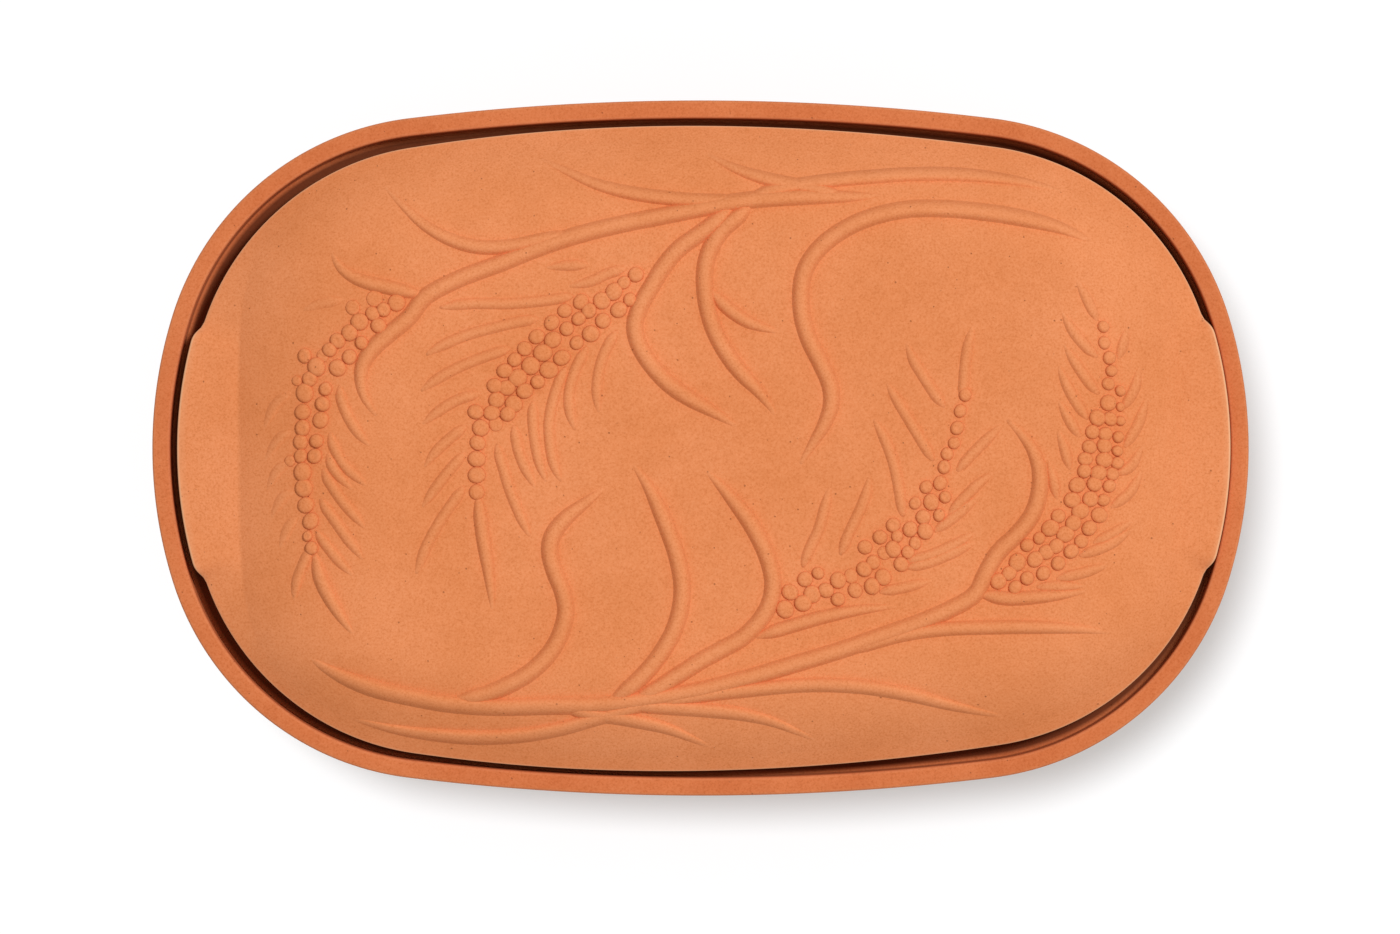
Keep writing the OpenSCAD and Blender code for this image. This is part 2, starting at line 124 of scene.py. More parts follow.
# Lines along the fine awns that stand off the ears, from the free tip to the ear
AWNS_PX = (
    ((293, 603), (297, 580), (305, 560), (311, 546)),
    ((973, 325), (968, 345), (965, 365), (963, 392), (963, 402)),
    ((371, 447), (361, 436), (353, 425), (346, 412), (341, 397), (340, 385)),
    ((368, 487), (357, 477), (347, 468), (339, 457), (333, 444), (330, 432)),
    ((353, 490), (343, 480), (336, 472), (331, 463), (328, 452)),
    ((366, 529), (357, 518), (349, 509), (341, 499), (334, 489), (327, 478), (323, 468)),
    ((364, 560), (355, 548), (348, 539), (341, 529), (334, 519), (326, 508), (320, 498)),
    ((354, 576), (344, 566), (335, 556), (328, 547), (321, 538), (316, 530)),
    ((438, 308), (470, 304), (510, 304), (545, 301), (575, 296)),
    ((568, 287), (590, 282), (608, 274), (628, 268)),
    ((545, 268), (565, 266), (590, 265)),
    ((425, 356), (440, 347), (465, 336), (490, 329), (515, 323), (540, 319)),
    ((420, 392), (438, 379), (460, 367), (485, 357), (512, 348)),
    ((422, 425), (438, 412), (458, 400), (482, 393)),
    ((424, 468), (436, 452), (452, 437), (468, 425)),
    ((422, 508), (436, 488), (450, 470), (466, 452)),
    ((416, 575), (426, 548), (438, 525), (452, 504), (466, 485)),
    ((599, 414), (597, 396), (598, 378), (602, 360), (609, 344), (618, 330)),
    ((576, 432), (571, 416), (569, 402), (570, 388), (574, 374), (580, 360), (588, 346)),
    ((562, 483), (556, 470), (552, 456), (550, 442), (549, 426), (551, 410), (555, 394),
     (560, 380), (567, 366)),
    ((547, 483), (542, 470), (538, 456), (535, 440), (533, 420), (533, 400)),
    ((536, 489), (530, 477), (524, 465), (519, 452), (516, 438), (514, 424)),
    ((531, 538), (526, 528), (519, 512), (513, 498), (508, 484), (504, 470), (500, 457),
     (497, 443)),
    ((830, 486), (825, 506), (819, 528), (810, 548), (802, 568)),
    ((870, 474), (866, 494), (858, 514), (848, 535), (840, 556)),
    ((873, 418), (884, 438), (893, 462), (899, 490), (903, 518)),
    ((886, 382), (898, 402), (910, 422), (922, 442), (934, 462)),
    ((906, 342), (913, 360), (924, 378), (935, 395), (945, 408)),
    ((1003, 424), (988, 438), (972, 454), (956, 472)),
    ((994, 472), (978, 484), (962, 500), (948, 515)),
    ((980, 495), (966, 507), (950, 520), (933, 532)),
    ((975, 532), (955, 544), (930, 555), (905, 561)),
    ((976, 542), (952, 553), (930, 562), (905, 568)),
    ((933, 580), (905, 587), (878, 592)),
    ((1062, 312), (1070, 327), (1082, 343), (1098, 358)),
    ((1064, 345), (1074, 361), (1086, 379), (1099, 395)),
    ((1058, 365), (1065, 382), (1075, 401), (1088, 420)),
    ((1058, 400), (1066, 415), (1080, 438)),
    ((1057, 430), (1064, 448), (1070, 470)),
    ((1048, 460), (1053, 480), (1057, 500)),
    ((1075, 278), (1083, 292), (1092, 310), (1098, 322)),
    ((1128, 325), (1124, 342), (1118, 360)),
    ((1140, 365), (1135, 388), (1122, 410)),
    ((1148, 397), (1138, 425), (1124, 448)),
    ((1143, 445), (1132, 465), (1115, 475)),
    ((1143, 470), (1130, 492), (1110, 508)),
    ((1133, 520), (1112, 534), (1092, 543)),
    ((1133, 529), (1108, 545), (1078, 556)),
    ((1110, 564), (1085, 572), (1055, 579)),
    ((1085, 586), (1060, 586), (1035, 587)),
)
# Lines of awns that are pressed so shallow that they barely show
FAINT_AWNS_PX = (
    ((263, 430), (275, 405), (292, 392)),
    ((264, 462), (278, 440), (292, 430)),
    ((266, 492), (278, 470), (292, 462)),
    ((270, 520), (283, 497), (296, 492)),
    ((279, 550), (288, 528), (298, 515)),
    ((300, 312), (320, 304), (345, 300)),
)
# Middle and radius of each grain of the four ears, read in pixels
GRAINS_PX = (
    (397, 303, 8.5), (384, 310, 7), (373, 314, 7), (379, 326, 7.5), (360, 322, 8.5),
    (350, 333, 8), (362, 343, 6.5), (338, 341, 7.5), (330, 350, 7), (350, 357, 7.3),
    (305, 356, 7), (317, 367, 9), (338, 368, 8.3), (310, 379, 7.5), (326, 389, 6.5),
    (305, 393, 9), (323, 404, 7.3), (303, 412, 7.8), (321, 420, 8), (303, 428, 7.8),
    (301, 442, 7.5), (317, 441, 6.8), (315, 456, 7.3), (301, 456, 6.8), (303, 472, 9),
    (304, 488, 8.8), (306, 505, 8), (311, 521, 8), (308, 536, 5), (312, 548, 6.5),
    (636, 275, 7.5), (624, 283, 6.5), (614, 292, 8.5), (630, 300, 6.5), (602, 301, 8.5),
    (619, 310, 8), (581, 302, 7.5), (589, 311, 7.5), (603, 321, 7.5), (565, 311, 7),
    (579, 319, 6.8), (552, 323, 7.5), (567, 329, 7), (591, 334, 8.3), (537, 337, 7.5),
    (553, 340, 8.3), (577, 343, 6.8), (525, 349, 7.3), (543, 353, 9), (562, 358, 8),
    (515, 360, 7), (531, 366, 9), (549, 370, 8.8), (505, 371, 7.5), (518, 378, 9),
    (538, 382, 7), (495, 386, 7.5), (507, 388, 8), (525, 391, 8), (497, 400, 8),
    (514, 404, 8.5), (476, 412, 7.5), (492, 413, 7.8), (508, 414, 7.5), (481, 428, 8.3),
    (478, 443, 7.5), (477, 459, 8.3), (477, 475, 8.3), (477, 492, 7.5),
    (785, 609, 8.8), (790, 592, 8), (803, 603, 8.3), (805, 579, 7.5), (812, 594, 8.5),
    (818, 573, 6), (826, 590, 7.5), (838, 599, 6.8), (838, 580, 8), (855, 590, 7.3),
    (864, 569, 7.5), (865, 547, 7), (873, 562, 7), (872, 586, 8), (883, 577, 8),
    (880, 537, 7), (893, 525, 7), (897, 536, 6), (893, 549, 8), (901, 564, 7.3),
    (908, 552, 6.5), (910, 529, 7.5), (915, 543, 6.3), (925, 531, 8), (923, 517, 7.3),
    (915, 503, 6), (939, 515, 6), (931, 502, 8), (945, 497, 6), (926, 487, 6.3),
    (940, 483, 7), (944, 467, 6.5), (947, 454, 6.3), (954, 443, 6), (957, 428, 6.7),
    (960, 411, 6.3), (965, 395, 6.3),
    (998, 581, 8), (1009, 573, 7.3), (1015, 587, 6.8), (1017, 562, 8.5), (1027, 578, 6.8),
    (1027, 545, 6.5), (1035, 559, 8), (1043, 573, 7), (1039, 538, 6), (1046, 552, 7.5),
    (1050, 528, 8.5), (1056, 546, 7.5), (1058, 563, 7), (1058, 516, 7), (1065, 534, 8.5),
    (1071, 551, 7.3), (1073, 523, 7.8), (1081, 541, 6.8), (1072, 500, 8), (1080, 511, 8.3),
    (1089, 528, 7.5), (1090, 499, 7.8), (1099, 515, 8), (1103, 500, 6.3), (1077, 485, 8),
    (1084, 471, 7), (1094, 484, 7.5), (1085, 459, 7), (1098, 473, 8), (1109, 486, 6.5),
    (1112, 474, 6.5), (1089, 447, 7), (1104, 460, 8), (1117, 463, 6.3), (1092, 432, 7),
    (1104, 446, 7.5), (1117, 451, 5.5), (1105, 434, 7), (1118, 437, 5.8), (1097, 418, 8),
    (1110, 419, 7), (1120, 421, 5), (1108, 403, 8), (1120, 407, 4.5), (1120, 391, 5.3),
    (1108, 384, 6.3), (1111, 371, 5.8), (1109, 358, 6.5), (1104, 343, 6.2), (1103, 327, 5.8),
)
# Grains that the press left shallow
FAINT_GRAINS_PX = (
    (375, 299, 8), (353, 308, 7), (323, 356, 6), (297, 381, 5), (290, 461, 5.5),
    (496, 424, 7), (851, 576, 7), (884, 553, 6.5),
)


# Corners to the arcs of a quarter outline, from the end to the long side
POT_STEPS = (26, 40, 18)
LID_STEPS = (40, 36, 18)
# Half the length of the wave that makes the lid's left half fuller and its right one less
FULLER_REACH = 170 * MM

# Straight steps of a smooth curve from one listed point to the next
SPAN_STEPS = 12
# Tapers of each kind of ridge, at its free tip and at its root
STEM_ENDS = 32 * MM, 32 * MM
BRANCH_ENDS = 26 * MM, 10 * MM
LEAF_ENDS = 44 * MM, 9 * MM
AWN_ENDS = 9 * MM, 5 * MM
# Largest shares of a ridge's length that the two tapers take
TIP_SHARE, ROOT_SHARE = 0.6, 0.4
# Width of a ridge at its very ends as a share of its full width
END_WIDTH = 0.26
# Powers that shape a ridge's section: how flat its crown is, and how softly its feet run out
CROWN_POWER, FOOT_POWER = 3, 1.5

# Bead of unit size: where it is cut off below, how blunt its top is, and the print in it
BEAD_CUT, BEAD_BLUNT = -0.35, 1.6
PRINT_FROM, PRINT_DEPTH = 0.96, 0.16
# A grain's width at its foot, against the width that was read across its bright top
GRAIN_SPREAD = 1.06

# How strongly painted shade darkens the creases and the seat down in the gap, and how strongly
# paler clay lies on crests, rim and lips: rubbed wear, on crests and lips partly a painted
# highlight
RIDGE_CREASE_SHADE, BEAD_CREASE_SHADE = 0.45, 0.7
SEAT_SHADE = 0.9
RIDGE_WEAR_HIGHLIGHT, RIM_WEAR = 0.06, 0.1
LIP_WEAR_HIGHLIGHT = (0.2, 0.7, 1.0, 1.0, 0.7, 0.2)

# Directions towards the large soft lamp and the overhead lamp
KEY_WAY = Vector((0.184, 0.126, 0.53)).normalized()
OVERHEAD_WAY = Vector((-0.082, 0.076, 1))
# How wide the overhead sun looks, which softens the edge of the shadow on the floor
OVERHEAD_ANGLE = radians(7)
# Width of the floor in metres
FLOOR_SIZE = 8
# Share of the floor's white that is its own, how bright that is, and its tone to the pot
FLOOR_GLOW, FLOOR_WHITE, FLOOR_TONE = 0.42, 0.9, 0.45


def linear(code):
    """Linear colour of an sRGB colour written as six hexadecimal digits."""
    parts = [int(code[i:i + 2], 16) / 255 for i in (0, 2, 4)]
    return [c / 12.92 if c <= 0.04045 else ((c + 0.055) / 1.055) ** 2.4 for c in parts]


def number_of(name, description, value, **more):
    """A number property, with the unit or limits that it needs."""
    return bpy.props.FloatProperty(name=name, description=description, default=value, **more)


def size_of(name, description, millimetres):
    """A length property whose default is given in millimetres."""
    return number_of(
        name, description, millimetres * MM, min=0.0, unit="LENGTH", precision=4)


def colour_of(name, description, code):
    """A colour property whose default is given as an sRGB colour."""
    return bpy.props.FloatVectorProperty(
        name=name, description=description, default=linear(code), size=3, min=0.0, max=1.0,
        subtype="COLOR")


class PotSizes(bpy.types.PropertyGroup):
    length: size_of("Length", "Length over the rim", (POT_HIGH.x - POT_LOW.x) / MM)
    width: size_of("Width", "Width over the rim", (POT_HIGH.y - POT_LOW.y) / MM)
    height: size_of("Height", "Height of the rim above the table", POT_HIGH.z / MM)
    end_radius: size_of("End radius", "Radius of the rim's end arcs", 155)
    shoulder_radius: size_of("Shoulder radius", "Radius of the rim's shoulder arcs", 98)
    side_radius: size_of("Side radius", "Radius of the rim's long side arcs", 830)
    lean: size_of("Lean", "How far the wall leans in from rim to foot", 9)
    wall: size_of("Wall", "Thickness of the wall above the floor", 10)
    floor: size_of("Floor", "Thickness of the floor", 10)
    lower_edge: size_of("Lower edge", "Rounding of the lower edge", 26)
    foot_height: size_of("Foot height", "Height of the foot ring", 3)
    foot_width: size_of("Foot width", "Width of the foot ring", 9)
    rim_width: size_of("Rim width", "Width of the flat rim", 6.2)
    rim_round: size_of("Rim rounding", "Rounding of the rim's two edges", 1)
    mouth_lean: size_of("Mouth lean", "How far the mouth narrows from rim to ledge", 0.3)
    ledge_depth: size_of("Ledge depth", "Depth of the ledge below the rim", 12)
    ledge_width: size_of("Ledge width", "Width of the ledge that carries the lid", 9.5)


class LidSizes(bpy.types.PropertyGroup):
    side_gap: size_of("Side gap", "Gap to the mouth at the middle of a long side", 2.3)
    end_gap: size_of("End gap", "Gap to the mouth at an end, beside the lug", 3.8)
    lug_gap: size_of("Lug gap", "Gap between a lug and the mouth", 1.2)
    end_radius: size_of("End radius", "Radius of the lid's end arcs", 150)
    shoulder_radius: size_of("Shoulder radius", "Radius of the lid's shoulder arcs", 89)
    side_radius: size_of("Side radius", "Radius of the lid's long side arcs", 690)
    lug_length: size_of("Lug length", "Length of a lug along the rim", 91)
    lug_curve: size_of("Lug curve", "Length of the curve from a lug to the oval", 11)
    pad_depth: size_of("Pad depth", "Depth of a lug's flat pad up to the dome", 18.7)
    turn_round: size_of("Turn rounding", "Rounding of the dome's turn at its ends", 14)
    edge_height: size_of("Edge height", "Height of the edge above the ledge", 12.9)
    lip_round: size_of("Lip rounding", "Rounding of the lid's lip", 0.8)
    bevel_width: size_of("Bevel width", "Width of the bevel around the dome", 5)
    bevel_rise: size_of("Bevel rise", "Rise of that bevel", 3.6)
    side_width: size_of("Side width", "Width of the dome's rounded side", 30.5)
    side_rise: size_of("Side rise", "Rise of the dome's rounded side", 13)
    left_share: number_of(
        "Left share", "Slope of the dome's left end as a share of its side's", 0.6)
    right_share: number_of(
        "Right share", "Slope of the dome's right end as a share of its side's", 0.7)
    fullness: number_of(
        "Fullness", "How much fuller the lid's left half is than an even oval", 0.006)
    dome_shift: size_of("Dome shift", "How far the dome sits towards the right lug", 2.7)
    crown: size_of("Crown", "Slight rise of the dome's top towards its middle", 0.4)
    wall: size_of("Wall", "Thickness of the lid", 9)
    seat_width: size_of("Seat width", "Width of the flat seat under the edge", 6.5)
    shift: size_of("Shift", "How far the loose lid sits towards the right lug", 1.15)
    slide: size_of("Slide", "How far the loose lid sits towards the front", 0.1)
    turn: number_of("Turn", "Turn of the loose lid in its seat", radians(0.45), unit="ROTATION")


class ReliefSizes(bpy.types.PropertyGroup):
    stem_width: size_of("Stem width", "Width of a stem", 6.5)
    stem_height: size_of("Stem height", "Height of a stem over the dome", 2.55)
    leaf_width: size_of("Leaf width", "Width of a leaf", 5.4)
    leaf_height: size_of("Leaf height", "Height of a leaf over the dome", 2.0)
    awn_width: size_of("Awn width", "Width of an awn", 4.3)
    awn_height: size_of("Awn height", "Height of an awn over the dome", 1.15)
    grain_height: size_of("Grain height", "Height of a full grain over the dome", 1.65)
    dip: size_of("Dip", "How far a ridge's foot dips under the dome", 0.12)


class ClayColours(bpy.types.PropertyGroup):
    lid: colour_of("Lid", "Fired clay of the lid", "E78F5C")
    lid_cloud: colour_of("Lid clouds", "Redder clouds in the lid's clay", "DF8651")
    pot: colour_of("Pot", "Fired clay of the pot", "D97D4C")
    pot_cloud: colour_of("Pot clouds", "Redder clouds in the pot's clay", "CE7040")
    # Paler rubbed clay; along the lips and on crests partly a painted highlight
    worn: colour_of("Worn edge", "Paler, rubbed clay along the lips", "F6BE93")
    # Painted shade in the creases beside raised work
    crease: colour_of("Creases", "Darker clay in the creases beside raised work", "B8663A")
    pit: colour_of("Pits", "Shaded bottom of the tiny pits", "9C5530")
    # Painted shade down in the gap between lid and pot, in the lid's seat
    seat: colour_of("Seat", "Clay darkened by baking, down in the lid's seat", "5F2A12")


class StudioSizes(bpy.types.PropertyGroup):
    camera_distance: size_of("Camera distance", "Distance of the camera over the rim", 4000)
    key_distance: size_of("Key distance", "Distance of the large soft lamp", 6000)
    key_size: size_of("Key size", "Width of the large soft lamp", 1100)
    key_level: number_of("Key level", "Light of the large soft lamp on a face turned to it", 0.635)
    sky_level: number_of("Sky level", "Even light from all round", 0.45)
    floor_level: number_of("Floor level", "Light of the overhead lamp on the floor", 0.8)
    floor: colour_of("Floor", "Plain pale floor", "F6FBFF")
    key: colour_of("Key", "Slightly cool light of the large soft lamp", "FBFCFF")
    sky: colour_of("Sky", "Slightly warm light from all round", "FFFBF2")


class Oval:
    """Oval of tangent arcs, one end, one shoulder and one side arc to each quarter."""

    def __init__(self, half_x, half_y, end, side, shoulder):
        self.end, self.side, self.shoulder = end, side, shoulder
        self.end_middle = Vector((half_x - end, 0))
        self.side_middle = Vector((0, half_y - side))
        across = self.side_middle - self.end_middle
        ra, rb, far = end - shoulder, side - shoulder, across.length
        along = (ra * ra - rb * rb + far * far) / (2 * far)
        unit = across / far
        off = sqrt(ra * ra - along * along)
        self.shoulder_middle = self.end_middle + unit * along + Vector((-unit.y, unit.x)) * off
        self.first = heading(self.shoulder_middle - self.end_middle)
        self.last = heading(self.shoulder_middle - self.side_middle)

    def arcs(self):
        """Middle, radius, first and last heading of the three arcs."""
        return (
            (self.end_middle, self.end, 0, self.first),
            (self.shoulder_middle, self.shoulder, self.first, self.last),
            (self.side_middle, self.side, self.last, pi / 2))

    def quarter(self, inset, steps):
        """Corners from the X axis round to the Y axis, set in from the oval."""
        points = []
        for (middle, radius, first, last), count in zip(self.arcs(), steps):
            for i in range(count):
                turn = first + (last - first) * i / count
                points.append(middle + (radius - inset) * Vector((cos(turn), sin(turn))))
        return points + [Vector((0, self.side_middle.y + self.side - inset))]

    def inset_at(self, x, y):
        """How far a place lies inside the oval."""
        p = Vector((abs(x), abs(y)))
        turn = heading(p - self.shoulder_middle)
        if self.first < turn < self.last:
            return self.shoulder - (p - self.shoulder_middle).length
        return min(self.end - (p - self.end_middle).length,
                   self.side - (p - self.side_middle).length)


def heading(v):
    return atan2(v.y, v.x)


def mix(a, b, share):
    return a + (b - a) * share


def smooth(share):
    s = min(1.0, max(0.0, share))
    return s * s * (3 - 2 * s)


class LidForm:
    """The lid's surfaces, worked out from its sizes before it is turned in its seat."""

    def __init__(self, scene):
        pot, lid = scene.bread_pot, scene.bread_pot_lid
        self.lid, self.relief = lid, scene.bread_pot_relief
        self.mouth_inset = pot.rim_width + pot.mouth_lean
        self.mouth = Oval(pot.length / 2, pot.width / 2, pot.end_radius, pot.side_radius,
                          pot.shoulder_radius)
        self.oval = Oval(
            pot.length / 2 - self.mouth_inset - lid.end_gap,
            pot.width / 2 - self.mouth_inset - lid.side_gap,
            lid.end_radius, lid.side_radius, lid.shoulder_radius)
        self.ledge_z = pot.height - pot.ledge_depth
        self.edge_z = self.ledge_z + lid.edge_height
        self.bevel_z = self.edge_z + lid.bevel_rise
        self.pad_end = pot.length / 2 - self.mouth_inset - lid.lug_gap - lid.pad_depth
        self.seat = (Matrix.Translation((lid.shift, -lid.slide, 0))
                     @ Matrix.Rotation(lid.turn, 4, "Z"))
        self.per_px = Vector((pot.length / 2 / RIM_HALF_PX.x, pot.width / 2 / RIM_HALF_PX.y))

    def rounded_min(self, a, b):
        """The smaller of two lengths, with a rounded turn where they are nearly the same."""
        near = max(0.0, 1 - abs(a - b) / self.lid.turn_round)
        return min(a, b) - self.lid.turn_round * near * near / 4

    def fuller(self, x):
        """Share by which the pressed lid is wider than an even oval: the left half is fuller."""
        reach = max(-1.0, min(1.0, x / FULLER_REACH))
        return 1 - self.lid.fullness * sin(pi * reach)

    def lug_share(self, y):
        """1 along a lug, 0 beside it."""
        return smooth((self.lid.lug_length / 2 - abs(y)) / self.lid.lug_curve)

    def height(self, depth):
        """Height of the lid's top at a depth inside the dome's foot."""
        # The side is a rounded rise, and the crown goes on rising over three widths of it
        share = 1 - min(1.0, max(0.0, depth) / self.lid.side_width)
        crown = sin(min(1.0, max(0.0, depth) / (3 * self.lid.side_width)) * pi / 2)
        return self.bevel_z + self.lid.side_rise * (1 - share * share) + self.lid.crown * crown

    def top(self, x, y):
        """Height of the lid's top at a place."""
        inset = self.oval.inset_at(x, y / self.fuller(x)) - self.lid.bevel_width
        return self.height(self.rounded_min(inset, self.end_room(x) * self.end_share(x)))

    def end_share(self, x):
        return self.lid.left_share if x < 0 else self.lid.right_share

    def end_room(self, x):
        """Distance along X from a place to the crease of the pad on its side."""
        return self.pad_end + copysign(self.lid.dome_shift, x) - abs(x)

    def edge_ring(self, inset, z, lug_inset, lug_z):
        """Ring of the edge: the oval, drawn out to the mouth along the lugs."""
        plain = self.oval.quarter(inset, LID_STEPS)
        drawn = self.mouth.quarter(self.mouth_inset + self.lid.lug_gap + lug_inset, LID_STEPS)
        row = []
        for a, b in zip(plain, drawn):
            share = self.lug_share(a.y)
            p = a.lerp(b, share)
            row.append(Vector((p.x, p.y, mix(z, lug_z, share))))
        return self.pressed(row)

    def pressed(self, row):
        """A quarter row mirrored round both axes, with its left half a little fuller."""
        out, back = row[:-1], row[-1:0:-1]
        return [Vector((p.x * sx, p.y * sy * self.fuller(p.x * sx), p.z))
                for part, sx, sy in ((out, 1, 1), (back, -1, 1), (out, -1, -1), (back, 1, -1))
                for p in part]

    def flat_ring(self, inset, z):
        return self.pressed([p.to_3d() + Vector((0, 0, z))
                             for p in self.oval.quarter(inset, LID_STEPS)])

    def dome_ring(self, depth, wall=0.0):
        """Ring of the dome at a depth inside its foot, set back from the top by a wall."""
        lean = max(0.0, 1 - depth / self.lid.side_width)
        slope = atan(2 * self.lid.side_rise / self.lid.side_width * lean)
        back = depth + wall * sin(slope)
        ring = self.flat_ring(self.lid.bevel_width + back,
                              self.height(depth) - wall * cos(slope))
        for p in ring:
            reach = self.end_room(copysign(0.0, p.x)) - back / self.end_share(p.x)
            p.x = copysign(self.rounded_min(abs(p.x), reach), p.x)
        return ring

    def on_lid(self, px):
        """Place on the lid, before it is seated, of a pixel of the photograph."""
        x = (px[0] - RIM_MIDDLE_PX.x) * self.per_px.x * LID_SHARE
        y = (RIM_MIDDLE_PX.y - px[1]) * self.per_px.y * LID_SHARE
        return (self.seat.inverted() @ Vector((x, y, 0))).to_2d()

    def rings(self):
        """All rings of the lid, from the middle underneath over the edge to the top."""
        lid, lip = self.lid, self.lid.lip_round
        # Depths in thirtieths of the dome's side, close together where it turns the most
        depths = [0, 0.4, 1, 1.8, 2.8, 4, 5.4, 7, 9, 11.5, 14.5, 18, 22, 26, 30]
        depths = [d * lid.side_width / 30 for d in depths]
        inner = lip + lid.seat_width
        # The hollow underside out to its seat, and the rounding under the edge
        rings = [self.dome_ring(lid.side_width * 2, lid.wall)]
        rings += [self.dome_ring(d, lid.wall) for d in reversed(depths[::2])]
        rings += [self.flat_ring(inner + lip, self.ledge_z + lip),
                  self.flat_ring(inner + lip * 0.3, self.ledge_z + lip * 0.3),
                  self.flat_ring(inner, self.ledge_z)]
        for i in range(4):
            a = radians(30 * i)
            under = lip * (1 - sin(a)), self.ledge_z + lip * (1 - cos(a))
            rings.append(self.edge_ring(*under, *under))
        # The lip, rounded as far as the bevel beside the lugs and all the way over along them
        bevel = pi / 2 - atan(lid.bevel_rise / lid.bevel_width)
        for i in range(6):
            a = pi / 2 * i / 5
            b = bevel * i / 5
            rings.append(self.edge_ring(
                lip * (1 - cos(b)), self.edge_z - lip * (1 - sin(b)),
                lip * (1 - cos(a)), self.bevel_z - lip * (1 - sin(a))))
        # The bevel up to the dome's foot, the dome's side and its top
        last, foot = rings[-1], self.dome_ring(0)
        for share in (0.12, 0.35, 0.6, 0.82, 0.95):
            rings.append([a.lerp(b, share) for a, b in zip(last, foot)])
        rings += [self.dome_ring(d) for d in depths]
        rings += [self.dome_ring(lid.side_width * s) for s in (1.25, 1.6, 2.0, 2.5)]
        return rings


def deselect():
    """Leaves edit mode and clears the selection before the next piece is started."""
    if bpy.context.object and bpy.context.object.mode != "OBJECT":
        bpy.ops.object.mode_set(mode="OBJECT")
    bpy.ops.object.select_all(action="DESELECT")


def select_only(piece):
    deselect()
    piece.select_set(True)
    bpy.context.view_layer.objects.active = piece


def edit(action="SELECT"):
    """Opens the active piece in edit mode, if it isn't, and selects all of it or nothing."""
    bpy.ops.object.mode_set(mode="EDIT")
    bpy.ops.mesh.select_all(action=action)


def select_where(kind, test):
    """Selects those vertices or edges of the piece in edit mode that pass a test."""
    data = bpy.context.object.data
    for part in getattr(bmesh.from_edit_mesh(data), kind):
        part.select_set(test(part))
    bmesh.update_edit_mesh(data)


def end_edit():
    bpy.ops.object.mode_set(mode="OBJECT")


def finish_piece(piece, body, *nodes):
    """Gives a finished piece its clay and its body, and hides the CAD nodes that it stands for."""
    select_only(piece)
    bpy.ops.object.shade_smooth()
    piece.data.materials.clear()
    piece.data.materials.append(clay_of(body))
    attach(piece, body)
    if nodes:
        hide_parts(*nodes)


def finish_lid(piece, form, *nodes):
    """Turns and shifts a piece of the lid into its seat, applies that and finishes the piece."""
    select_only(piece)
    piece.rotation_euler.z = form.lid.turn
    piece.location = (form.lid.shift, -form.lid.slide, 0)
    bpy.ops.object.transform_apply(location=True, rotation=True)
    finish_piece(piece, "lid", *nodes)


def draw_section(name, corners):
    """Section in the XZ plane, drawn from one vertex by extruding it from corner to corner.
    Each corner is given as x, z, the length that its rounding takes and its segments."""
    deselect()
    bpy.ops.mesh.primitive_plane_add(size=MM, location=(corners[0][0], 0, corners[0][1]))
    piece = bpy.context.object
    piece.name = name
    bpy.ops.object.transform_apply(location=True)
    edit()
    bpy.ops.mesh.select_mode(type="VERT")
    bpy.ops.mesh.merge(type="CENTER")
    edit()
    for a, b in zip(corners, corners[1:]):
        bpy.ops.mesh.extrude_region_move(
            TRANSFORM_OT_translate={"value": (b[0] - a[0], 0, b[1] - a[1])})
    for x, z, rounding, segments in corners:
        if rounding:
            place = Vector((x, 0, z))
            select_where("verts", lambda v: (v.co - place).length < MM / 100)
            bpy.ops.mesh.bevel(affect="VERTICES", offset=rounding, segments=segments)
    return piece


def loft(name, rings):
    """A closed piece: a filled circle, extruded once for each further ring and laid on them."""
    deselect()
    bpy.ops.mesh.primitive_circle_add(vertices=len(rings[0]), radius=0.1, fill_type="NGON")
    piece = bpy.context.object
    piece.name = name
    edit()
    for _ in rings[1:]:
        bpy.ops.mesh.extrude_region_move(TRANSFORM_OT_translate={"value": (0, 0, MM)})
    end_edit()
    piece.data.vertices.foreach_set("co", [c for ring in rings for p in ring for c in p])
    piece.data.update()
    return piece


def join_pieces(name, pieces):
    deselect()
    for piece in pieces:
        piece.select_set(True)
    bpy.context.view_layer.objects.active = pieces[0]
    bpy.ops.object.join()
    pieces[0].name = name
    return pieces[0]


def through(points, count):
    """Evenly spaced places and directions along a smooth curve through listed points."""
    ends = [points[0] * 2 - points[1], *points, points[-1] * 2 - points[-2]]
    fine = []
    for a, b, c, d in zip(ends, ends[1:], ends[2:], ends[3:]):
        for t in (k / SPAN_STEPS for k in range(SPAN_STEPS)):
            fine.append(0.5 * (2 * b + (c - a) * t + (2 * a - 5 * b + 4 * c - d) * t * t
                               + (3 * b - a - 3 * c + d) * t ** 3))
    fine.append(points[-1])
    travelled = [0.0]
    for a, b in zip(fine, fine[1:]):
        travelled.append(travelled[-1] + (b - a).length)
    places, k = [], 0
    for i in range(count + 1):
        goal = travelled[-1] * i / count
        while k < len(fine) - 2 and travelled[k + 1] < goal:
            k += 1
        share = (goal - travelled[k]) / max(1e-9, travelled[k + 1] - travelled[k])
        places.append(fine[k].lerp(fine[k + 1], min(1.0, share)))
    runs = [(places[min(i + 1, count)] - places[max(i - 1, 0)]).normalized()
            for i in range(count + 1)]
    return places, runs, travelled[-1]


